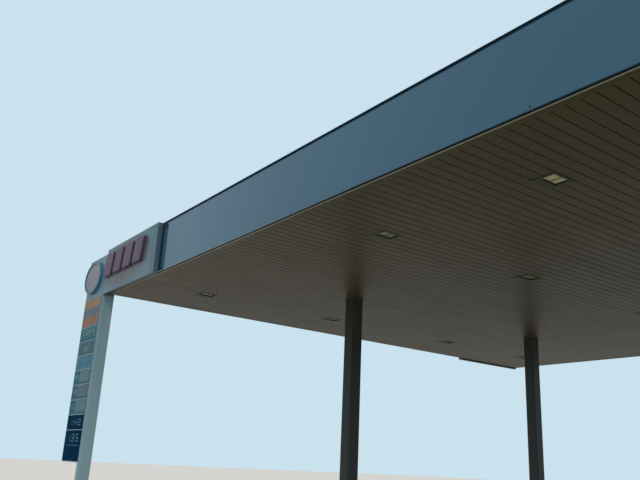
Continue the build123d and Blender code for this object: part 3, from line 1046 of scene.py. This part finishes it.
@dataclass
class Downlights:
    """Recessed square downlights, each with a closed gear end and a lens parted by a bar."""

    edge: float = 0.0015
    lip: float = 0.008
    gear_gap: float = 0.002
    half_bar: float = 0.005
    recess: float = 0.012
    collar_wall: float = 0.002
    collar_sunk: float = 0.004
    cutter_reach: float = 0.01
    flange: float = 0.020
    gear_width: float = 0.095
    glowing_lens: Pair = (6.0, -2.19)
    prism_pitch: float = 0.0155
    prism_height: float = 0.0035
    screw: Screw = Screw(0.005, 0.002)
    gear_screw_inset: float = 0.06
    corner_screw_inset: float = 0.012

    @cached_property
    def frame_boxes(self) -> list[Box]:
        """Where the frames are."""
        return solids("downlight_frames")

    @cached_property
    def lens_boxes(self) -> list[Box]:
        """Where the lenses are."""
        return solids("downlight_lenses")

    @cached_property
    def opening(self) -> Box:
        """The opening in the first frame that shows its lens."""
        lens, lip = self.lens_boxes[0], self.lip
        return Box(lens.lo + Vector((-self.gear_gap, lip, 0)), lens.hi - Vector((lip, lip, 0)))

    def build(self) -> None:
        """Builds frames, collars, lenses and screws, and dresses the housings."""
        dress(ENAMEL, "downlight_housings")
        self.frames()
        self.collars()
        self.lenses()
        self.screws()

    def frames(self) -> None:
        """Frames with eased edges round the two panes."""
        first, opening = self.frame_boxes[0], self.opening
        piece, cutter = Piece("light_frames").block(first.lo, first.hi), Piece("light_panes")
        low, high = first.lo.z - self.cutter_reach, first.hi.z + self.cutter_reach
        front, back = first.centre.y - self.half_bar, first.centre.y + self.half_bar
        for y0, y1 in ((opening.lo.y, front), (back, opening.hi.y)):
            cutter.block((opening.lo.x, y0, low), (opening.hi.x, y1, high))
        piece.cut(cutter).ease(self.edge)
        piece.repeat(steps_between(self.frame_boxes))
        piece.finish("light_frame", LIGHT_FRAME, ["downlight_frames"])

    def collars(self) -> None:
        """Collars that carry the lenses a little above the frames, painted near black as painted shade in the
        recesses.
        """
        top, opening = self.frame_boxes[0].hi.z, self.opening
        inner, outer = opening.plan(-self.collar_wall), opening.plan(0)
        piece = Piece("light_collars").hoop(inner, outer, top - self.collar_sunk, top + self.recess)
        piece.repeat(steps_between(self.frame_boxes))
        piece.finish("light_frame", RECESS_SHADE_PAINT)

    def lenses(self) -> None:
        """One lens near the front edge with a bright painted glow, and the unlit rest, whose darker base is
        painted shade; all have the same dust film.
        """
        clear = min(self.lens_boxes, key=lambda box: (box.centre.xy - Vector(self.glowing_lens)).length)
        for name, look, nodes in (
            ("light_lens_glowing", GLOWING_LENS, []),
            ("light_lenses", UNLIT_LENS, ["downlight_lenses"]),
        ):
            piece = self.lens(name)
            places = [box for box in self.lens_boxes if (box is clear) == (look is GLOWING_LENS)]
            seat = Vector((0, 0, self.recess)) - self.lens_boxes[0].lo
            piece.repeat([box.lo + seat for box in places])
            piece.finish("light_lens", look, nodes)

    def lens(self, name: str) -> Piece:
        """Makes the first lens, with rows of pressed pyramids on its underside.

        Args:
            name: Name of the piece.

        Returns:
            The piece, not finished yet.
        """
        piece, first = Piece(name), self.lens_boxes[0]
        mesh, tip = piece.mesh, first.lo.z
        across, along = (round(length / self.prism_pitch) for length in first.size.xy)
        middle = Matrix.Translation((*first.centre.xy, tip + self.prism_height))
        place = middle @ Matrix.Diagonal((*(first.size.xy / 2), 1, 1))
        bmesh.ops.create_grid(mesh, x_segments=across, y_segments=along, size=1, matrix=place)
        for vert in bmesh.ops.poke(mesh, faces=mesh.faces)["verts"]:
            vert.co.z = tip
        rim = [edge for edge in mesh.edges if edge.is_boundary]
        for part in bmesh.ops.extrude_edge_only(mesh, edges=rim)["geom"]:
            if isinstance(part, bmesh.types.BMVert):
                part.co.z = first.hi.z
        bmesh.ops.holes_fill(mesh, edges=mesh.edges)
        return piece

    def screws(self) -> None:
        """Two screws in each gear end and one in each far corner of the frame."""
        piece = Piece("light_screws")
        for box in self.frame_boxes:
            gear = box.lo.x + self.flange + self.gear_width / 2
            corner = box.hi.x - self.corner_screw_inset
            for x, inset in ((gear, self.gear_screw_inset), (corner, self.corner_screw_inset)):
                for y in (box.lo.y + inset, box.hi.y - inset):
                    self.screw.add(piece, (x, y, box.lo.z), DOWN)
        piece.finish("light_frame", LIGHT_FRAME)


class Side(Enum):
    """The fascias that carry a sign box."""

    FRONT = "front"
    LEFT = "left"


@dataclass
class SignBox:
    """Shallow sign box with raised bars on its face and a dark spacer frame behind it."""

    side: Side
    bar_slant: float = 0.090
    bar_ease: float = 0.022
    bar_corner: float = 0.034
    seams: Sequence[float] = (0.072, 0.150)
    seam_width: float = 0.006
    seam_height: float = 0.003
    seam_sunk: float = 0.002
    seam_margin: float = 0.02
    shadow_along: float = 1.3
    shadow_across: float = 0.4
    shadow_up: float = 0.5
    shadow_drop: float = 0.07
    sheet_inset: float = 0.012
    sheet_thickness: float = 0.001

    @cached_property
    def coating(self) -> ShadowedPaint:
        """The box's coating, with a painted shadow round and just below the bars.

        Returns:
            The coating.
        """
        bars = solids(f"sign_bars_{self.side.value}")
        middle = sum((bar.centre for bar in bars), Vector()) / len(bars)
        # The painted shadow is centred a little below the bars.
        middle.z -= self.shadow_drop
        flat = (self.shadow_along, self.shadow_across)
        reach = (*(flat if self.side is Side.FRONT else flat[::-1]), self.shadow_up)
        return ShadowedPaint(
            f"sign_coating_{self.side.value}", srgb(72, 101, 114), srgb(66, 90, 100),
            roughness=0.36, coat=0.15, peel=0.0001, shine=0.35,
            centre=tuple(middle), reach=reach, shadow_colour=srgb(76, 70, 62),
        )

    @cached_property
    def turn(self) -> Matrix:
        """Brings a piece drawn on the front fascia to this side of the roof.

        Returns:
            The turn, which is none for the front.
        """
        if self.side is Side.FRONT:
            return Matrix()
        roof = roof_outline()
        to_corner = Matrix.Translation((roof.lo.x, roof.hi.y, 0)) @ Matrix.Rotation(-math.pi / 2, 4, "Z")
        return to_corner @ Matrix.Translation((-roof.lo.x, -roof.lo.y, 0))

    def build(self) -> None:
        """Dresses the box and spacer, and builds the bars, seams and closing sheet."""
        dress(self.coating, f"sign_box_{self.side.value}")
        if self.side is Side.FRONT:
            dress(SPACER, "sign_spacers")
        self.bars()
        self.seam_strips()
        self.closing_sheet()

    def add(self, piece: Piece, slot: str, look: Finish, replaces: Sequence[str] = ()) -> None:
        """Turns a piece to this side and finishes it."""
        piece.mesh.transform(self.turn)
        piece.finish(slot, look, replaces)

    def bars(self) -> None:
        """Slanted bars with round corners and soft front edges."""
        piece, slant = Piece(f"sign_face_bars_{self.side.value}"), self.bar_slant
        for box in solids("sign_bars_front"):
            low, high = box.lo.z, box.hi.z
            x0, x1 = box.lo.x, box.hi.x - slant
            outline = rounded([(x0, low), (x1, low), (x1 + slant, high), (x0 + slant, high)], self.bar_corner)
            piece.prism(outline, box.size.y, facing_front(box.hi.y), self.bar_ease)
        self.add(piece, "sign_bar", BARS, [f"sign_bars_{self.side.value}"])

    def seam_strips(self) -> None:
        """Upright seams of the face panel near the free end of the box."""
        box, piece = Box.of("sign_box_front"), Piece(f"sign_seams_{self.side.value}")
        half, margin = self.seam_width / 2, self.seam_margin
        for x in (box.hi.x - inset for inset in self.seams):
            lo = (x - half, box.lo.y - self.seam_height, box.lo.z + margin)
            piece.block(lo, (x + half, box.lo.y + self.seam_sunk, box.hi.z - margin), EASED)
        self.add(piece, "sign_coating", self.coating)

    def closing_sheet(self) -> None:
        """Dull sheet that closes the box from below and turns up behind it as far as the soffit."""
        box, inset, sheet = Box.of("sign_box_front"), self.sheet_inset, self.sheet_thickness
        x0, x1, low = box.lo.x + inset, box.hi.x - inset, box.lo.z - sheet
        piece = Piece(f"sign_closing_sheet_{self.side.value}")
        piece.block((x0, box.lo.y + inset, low), (x1, box.hi.y, box.lo.z + sheet), THIN_EASED, 1)
        piece.block((x0, box.hi.y, low), (x1, box.hi.y + sheet, roof_outline().lo.z), THIN_EASED, 1)
        self.add(piece, "sign_coating", TRIM)


@dataclass
class Disc:
    """Plain oval disc on the pylon's head: a round rim about a slightly domed field."""

    rim: float = 0.044
    rim_rise: float = 0.014
    rim_fullness: float = 0.7
    points: int = 96
    dome: float = 0.006
    steps: int = 8

    def build(self) -> None:
        """Builds the rim and the field."""
        box, seat = Box.of("disc_rim"), Box.of("disc_face").size.y
        matrix = facing_front(box.hi.y)
        rings = [lifted(self.oval(box, self.rim), 0), lifted(self.oval(box, 0), 0)]
        for i in range(self.steps + 1):
            turn = math.pi * i / self.steps
            inset = self.rim * (1 - math.cos(turn)) / 2
            rise = self.rim_rise * (math.sin(turn) ** self.rim_fullness - 1)
            rings.append(lifted(self.oval(box, inset), box.size.y + rise))
        Piece("disc_round_rim").loft(rings, matrix, looped=True).finish("disc_rim", RIM, ["disc_rim"])
        edge, middle = self.oval(box, self.rim), Vector((box.centre.x, box.centre.z))
        rings = [lifted(edge, 0)]
        for share in (1 - i / self.steps for i in range(self.steps)):
            rings.append(lifted([middle + (p - middle) * share for p in edge], seat - self.dome * share ** 2))
        Piece("disc_field").loft(rings, matrix).finish("disc_face", FIELD, ["disc_face"])

    def oval(self, box: Box, inset: float) -> Outline:
        """Draws a four-centre oval.

        Args:
            box: The box that it fills.
            inset: How far it is moved in.

        Returns:
            The oval's points.
        """
        a, b = box.size.x / 2, box.size.z / 2
        chord = math.hypot(a, b)
        share = (chord - (a - b)) / 2
        end, long = share * chord / a, (chord - share) * chord / b
        split = math.atan2(long - b, a - end)
        middle = Vector((box.centre.x, box.centre.z))
        points = []
        for i in range(self.points):
            angle = 2 * math.pi * (i + 0.5) / self.points
            c, s = math.cos(angle), math.sin(angle)
            if abs(math.atan2(abs(s), abs(c))) < split:
                centre, radius = Vector((math.copysign(a - end, c), 0)), end - inset
            else:
                centre, radius = Vector((0, (b - long) * math.copysign(1, s))), long - inset
            points.append(middle + centre + Vector((c, s)) * radius)
        return points


class Ink(Enum):
    """Colours of the price panels, as a screen shows them."""

    ORANGE = (142, 122, 102)
    SALMON = (140, 108, 98)
    HAZE = (102, 116, 130)
    TEAL = (70, 110, 120)
    SLATE = (78, 106, 114)
    SKY = (78, 120, 138)
    BLUE = (54, 98, 118)
    NAVY = (12, 44, 70)
    LILAC = (92, 112, 126)
    PALE = (90, 120, 130)
    WHITE = (124, 146, 152)

    @cached_property
    def look(self) -> Moulded:
        """The ink as printed plastic, which fades towards a light grey."""
        faded = srgb(*(round(c + INK_FADE * (FADED_TO - c)) for c in self.value))
        return Moulded(f"panel_{self.name.lower()}", srgb(*self.value), faded, roughness=0.5, shine=0.0)


@dataclass(frozen=True)
class Patch:
    """A printed field of a panel, or a row of figures, in shares of the panel's width and height."""

    ink: Ink
    left: float
    right: float
    low: float
    high: float
    text: str = ""


Panel = tuple[Ink, Sequence[Patch]]


def grade(number: str, window: Ink) -> Panel:
    """A row with a pale window for its price, a dark line below and a grade number on blue."""
    line, figures = Patch(Ink.TEAL, 0, 1, 0, 0.08), Patch(Ink.WHITE, 0.05, 0.33, 0.36, 0.72, number)
    return Ink.BLUE, (Patch(window, 0.36, 0.98, 0.16, 0.96), line, figures)


PANELS: Sequence[Panel] = (
    (Ink.HAZE, (
        Patch(Ink.ORANGE, 0.02, 0.98, 0.68, 0.98),
        Patch(Ink.LILAC, 0.02, 0.98, 0.56, 0.62),
        Patch(Ink.LILAC, 0.02, 0.98, 0.44, 0.50),
        Patch(Ink.SALMON, 0.02, 0.98, 0.02, 0.36),
    )),
    (Ink.TEAL, (Patch(Ink.BLUE, 0.02, 0.98, 0.02, 0.14), Patch(Ink.WHITE, 0.14, 0.88, 0.42, 0.82, "0024"))),
    (Ink.SLATE, [Patch(Ink.PALE, 0.34, 0.66, 0.26, 0.60)]),
    (Ink.SKY, (Patch(Ink.PALE, 0.08, 0.92, 0.60, 0.68), Patch(Ink.BLUE, 0.08, 0.92, 0.36, 0.40))),
    grade("95", Ink.PALE),
    grade("98", Ink.LILAC),
    grade("10", Ink.PALE),
    (Ink.NAVY, [Patch(Ink.SKY, 0.1, 0.9, 0.28, 0.72, "1.42")]),
    (Ink.NAVY, (Patch(Ink.BLUE, 0.2, 0.9, 0.49, 0.52), Patch(Ink.SKY, 0.1, 0.9, 0.62, 0.88, "1.35"))),
)

SEGMENTS = {
    "0": "abcdef", "1": "bc", "2": "abged", "3": "abgcd", "4": "fgbc",
    "5": "afgcd", "8": "abcdefg", "9": "abcdfg",
}
STROKES = {
    "a": ((0, 1), (1, 1)), "b": ((1, 0.5), (1, 1)), "c": ((1, 0), (1, 0.5)), "d": ((0, 0), (1, 0)),
    "e": ((0, 0), (0, 0.5)), "f": ((0, 0.5), (0, 1)), "g": ((0, 0.5), (1, 0.5)),
}


class Prints(dict[Ink, Piece]):
    """The printed pieces of the panels, one for each ink."""

    def __missing__(self, ink: Ink) -> Piece:
        """Starts the piece of an ink."""
        return self.setdefault(ink, Piece(f"panel_print_{ink.name.lower()}"))


@dataclass
class Pylon:
    """Price pylon: pale housing on one flat post, base plate with anchors and a column of printed panels."""

    panels: Sequence[Panel] = PANELS
    edge: float = 0.002
    print_height: float = 0.0012
    stroke_share: float = 0.15
    stroke_gap: float = 0.12
    figure_share: float = 0.62
    dot_radius: float = 0.011
    dot_rise: float = 0.012
    dot_sides: int = 12
    rail_height: float = 0.004
    rail_gap: float = 0.001
    foot_rim: float = 0.020
    post_width: float = 0.060
    housing_edge: float = 0.004
    nut: Nut = Nut(flats=0.024, stud=0.034)
    bolt_inset: float = 0.030
    cover_depth: float = 0.064
    cover_skin: float = 0.002
    cover_edge: float = 0.0008
    skin_gap: float = 0.002
    prints: Prints = field(default_factory=Prints)

    @cached_property
    def body(self) -> Box:
        """The box of the CAD body."""
        return Box.of("pylon_body")

    @cached_property
    def boxes(self) -> list[Box]:
        """Where the panels are, from the top."""
        return sorted(solids("price_panels"), key=lambda box: -box.lo.z)

    @cached_property
    def foot(self) -> float:
        """Height of the housing's underside."""
        return self.boxes[-1].lo.z - self.foot_rim

    def build(self) -> None:
        """Builds the housing, its post, the panels, rails, skins, covers and anchors."""
        dress(PYLON, "pylon_base_plate")
        self.housing()
        for box, (ground, patches) in zip(self.boxes, self.panels):
            self.prints[ground].block(box.lo, box.hi, self.edge)
            for patch in patches:
                draw = self.figures if patch.text else self.plain
                draw(box, patch)
        for i, (ink, piece) in enumerate(self.prints.items()):
            piece.finish("price_panel", ink.look, ["price_panels"] if i == 0 else [])
        self.rails()
        self.sheets()
        self.nut.stand("pylon_nuts", "pylon_base_plate", self.bolt_inset)

    def housing(self) -> None:
        """The housing behind the panels, and the flat post at its right side down to the base plate."""
        lo, hi, ease = self.body.lo, self.body.hi, self.housing_edge
        piece = Piece("pylon_housing").block((lo.x, lo.y, self.foot), hi, ease)
        piece.finish("pylon_coating", PYLON, ["pylon_body"])
        piece = Piece("pylon_post").block((hi.x - self.post_width, lo.y, lo.z), (hi.x, hi.y, self.foot), ease)
        # The post takes the paler side paint, as painted light.
        piece.finish("pylon_coating", SIDE_LIT_SKIN)

    def sheets(self) -> None:
        """Covers down the two front corners, and thinner skins over the sides behind them; both are paler
        than the housing's front, as painted light on the sides.
        """
        lo, hi, top = self.body.lo, self.body.hi, Box.of("sign_box_front").lo.z
        fold, sheet, back = lo.y + self.cover_depth, self.cover_skin, hi.y - self.housing_edge
        for name, look, thick, gap, y0, y1, ease in (
            ("pylon_side_skins", SIDE_LIT_SKIN, sheet / 2, self.skin_gap, fold + self.skin_gap, back, THIN_EASED),
            ("pylon_corner_covers", CORNER, sheet, 0, lo.y, fold, self.cover_edge),
        ):
            piece = Piece(name)
            for x0, x1, low in ((lo.x - thick, lo.x, self.foot), (hi.x, hi.x + thick, lo.z)):
                piece.block((x0, y0, low + 2 * gap), (x1, y1, top - gap), ease, 1)
            piece.finish("pylon_coating", look)

    def rails(self) -> None:
        """Pale rails between the panels."""
        piece, front = Piece("panel_rails"), self.body.lo.y
        for upper, lower in zip(self.boxes, self.boxes[1:]):
            lo = (lower.lo.x, front - self.rail_height, lower.hi.z + self.rail_gap)
            piece.block(lo, (lower.hi.x, front, upper.lo.z - self.rail_gap), EASED)
        piece.finish("pylon_coating", RAIL)

    def plain(self, box: Box, patch: Patch) -> None:
        """Prints a plain field.

        Args:
            box: The panel that it lies on.
            patch: The field.
        """
        low, high = box.spot(patch.left, patch.low), box.spot(patch.right, patch.high)
        edge, front = self.edge, box.lo.y
        lo = (max(low.x, box.lo.x + edge), front - self.print_height, max(low.z, box.lo.z + edge))
        hi = (min(high.x, box.hi.x - edge), front + SUNK, min(high.z, box.hi.z - edge))
        self.prints[patch.ink].block(lo, hi, SUNK, 1)

    def figures(self, box: Box, patch: Patch) -> None:
        """Prints a row of seven-bar figures, with a point where the text has one.

        Args:
            box: The panel that they stand on.
            patch: The row.
        """
        low, high = box.spot(patch.left, patch.low), box.spot(patch.right, patch.high)
        signs, thick = patch.text.replace(".", ""), 2 * self.print_height
        pitch = (high.x - low.x) / len(signs)
        width = self.figure_share * pitch
        start, size = low.x + (pitch - width) / 2, Vector((width, high.z - low.z))
        piece, plane = self.prints[patch.ink], facing_front(low.y)
        for i, sign in enumerate(signs):
            for bar in SEGMENTS[sign]:
                piece.prism(self.stroke(bar, Vector((start + i * pitch, low.z)), size), thick, plane)
        if "." in patch.text:
            x = start + patch.text.index(".") * pitch - (pitch - width) / 2
            at = plane @ Matrix.Translation((x, low.z + self.dot_rise, 0))
            piece.turned(((self.dot_radius, 0), (self.dot_radius, thick)), self.dot_sides, at)

    def stroke(self, bar: str, corner: Vector, size: Vector) -> Outline:
        """Draws one bar of a figure, pointed at both ends.

        Args:
            bar: The bar's letter.
            corner: The figure's lowest x and z.
            size: Its width and height.

        Returns:
            The bar's outline.
        """
        half = self.stroke_share * size.y / 2
        inset = Vector((half, half))
        first, last = (corner + inset + Vector(end) * (size - 2 * inset) for end in STROKES[bar])
        run = (last - first).normalized() * half
        first, last = first + run * 2 * self.stroke_gap, last - run * 2 * self.stroke_gap
        inner, outer, across = first + run, last - run, Vector((-run.y, run.x))
        return [first, inner - across, outer - across, last, outer + across, inner + across]


# Camera and studio


@dataclass(frozen=True)
class Viewpoint:
    """The camera, at the photograph's viewing angle."""

    place: Triple = (10.199, -8.269, 1.569)
    focal_pixels: float = 701.82
    picture_width: float = 640.0
    sensor: float = 36.0
    yaw: float = math.radians(54.075)
    pitch: float = math.radians(17.757)
    roll: float = math.radians(-2.828)
    clip: Pair = (0.05, 500.0)

    def build(self) -> None:
        """Makes the camera and sets it as the scene's own."""
        lens = bpy.data.cameras.new("camera")
        lens.sensor_width = self.sensor
        lens.lens = self.focal_pixels / self.picture_width * self.sensor
        lens.clip_start, lens.clip_end = self.clip
        stand = Matrix.Translation(self.place)
        for angle, axis in ((self.yaw, "Z"), (math.pi / 2 + self.pitch, "X"), (-self.roll, "Z")):
            stand @= Matrix.Rotation(angle, 4, axis)
        camera = put("camera", lens)
        camera.matrix_world = stand
        bpy.context.scene.camera = camera


@dataclass(frozen=True)
class Studio:
    """Pale floor, even light from all round and one wide soft lamp."""

    floor_half: float = 140.0
    floor_middle: Triple = (4.0, 2.0, -0.002)
    floor_colour: Colour = (0.73, 0.715, 0.68)
    ambient: float = 0.66
    backdrop: Colour = srgb(202, 226, 238)
    key_strength: float = 1.1
    key_angle: float = math.radians(24)
    key_from: Triple = (0.45, -0.65, 0.8)

    def build(self) -> None:
        """Makes the floor, the world and the lamp."""
        bpy.context.scene.view_settings.view_transform = "Standard"
        self.floor()
        self.world()
        self.key()

    def floor(self) -> None:
        """The floor plane, just under the base plates."""
        piece = Piece("studio_floor")
        place = Matrix.Translation(self.floor_middle)
        bmesh.ops.create_grid(piece.mesh, size=self.floor_half, matrix=place)
        made = piece.as_object()
        piece.mesh.free()
        made.data.materials.append(PaleFloor("studio_floor", self.floor_colour).material)

    def world(self) -> None:
        """Even light, and a pale backdrop for the camera, reflections and glass."""
        world = bpy.data.worlds.new("studio")
        bpy.context.scene.world = world
        tree = Tree(world)
        light = tree.nodes["Background"]
        tree.feed(light.inputs["Color"], (1, 1, 1))
        tree.feed(light.inputs["Strength"], self.ambient)
        shown = tree.add("Background", {"Color": self.backdrop})
        rays = tree.add("LightPath", {}).outputs
        seen = tree.math("MAXIMUM", rays["Is Camera Ray"], rays["Is Glossy Ray"])
        seen = tree.math("MAXIMUM", seen, rays["Is Transmission Ray"])
        mix = tree.add("MixShader", {0: seen, 1: light.outputs[0], 2: shown.outputs[0]}).outputs[0]
        tree.feed(tree.nodes["World Output"].inputs["Surface"], mix)

    def key(self) -> None:
        """A wide soft sun from the front right."""
        lamp = bpy.data.lights.new("key", "SUN")
        lamp.energy, lamp.angle = self.key_strength, self.key_angle
        put("key", lamp).rotation_euler = Vector(self.key_from).to_track_quat("Z", "Y").to_euler()


def main() -> None:
    """Builds the whole scene and notes its size."""
    logging.basicConfig(level=logging.INFO, format="%(name)s: %(message)s")
    Viewpoint().build()
    Studio().build()
    assemblies = (
        Columns(), RoofFrame(), RoofEdge(), RoofCovering(), Soffit(), Downlights(),
        SignBox(Side.FRONT), SignBox(Side.LEFT), Disc(), Pylon(),
    )
    for assembly in assemblies:
        log.info("building %s", type(assembly).__name__)
        assembly.build()


if __name__ == "__main__":
    main()
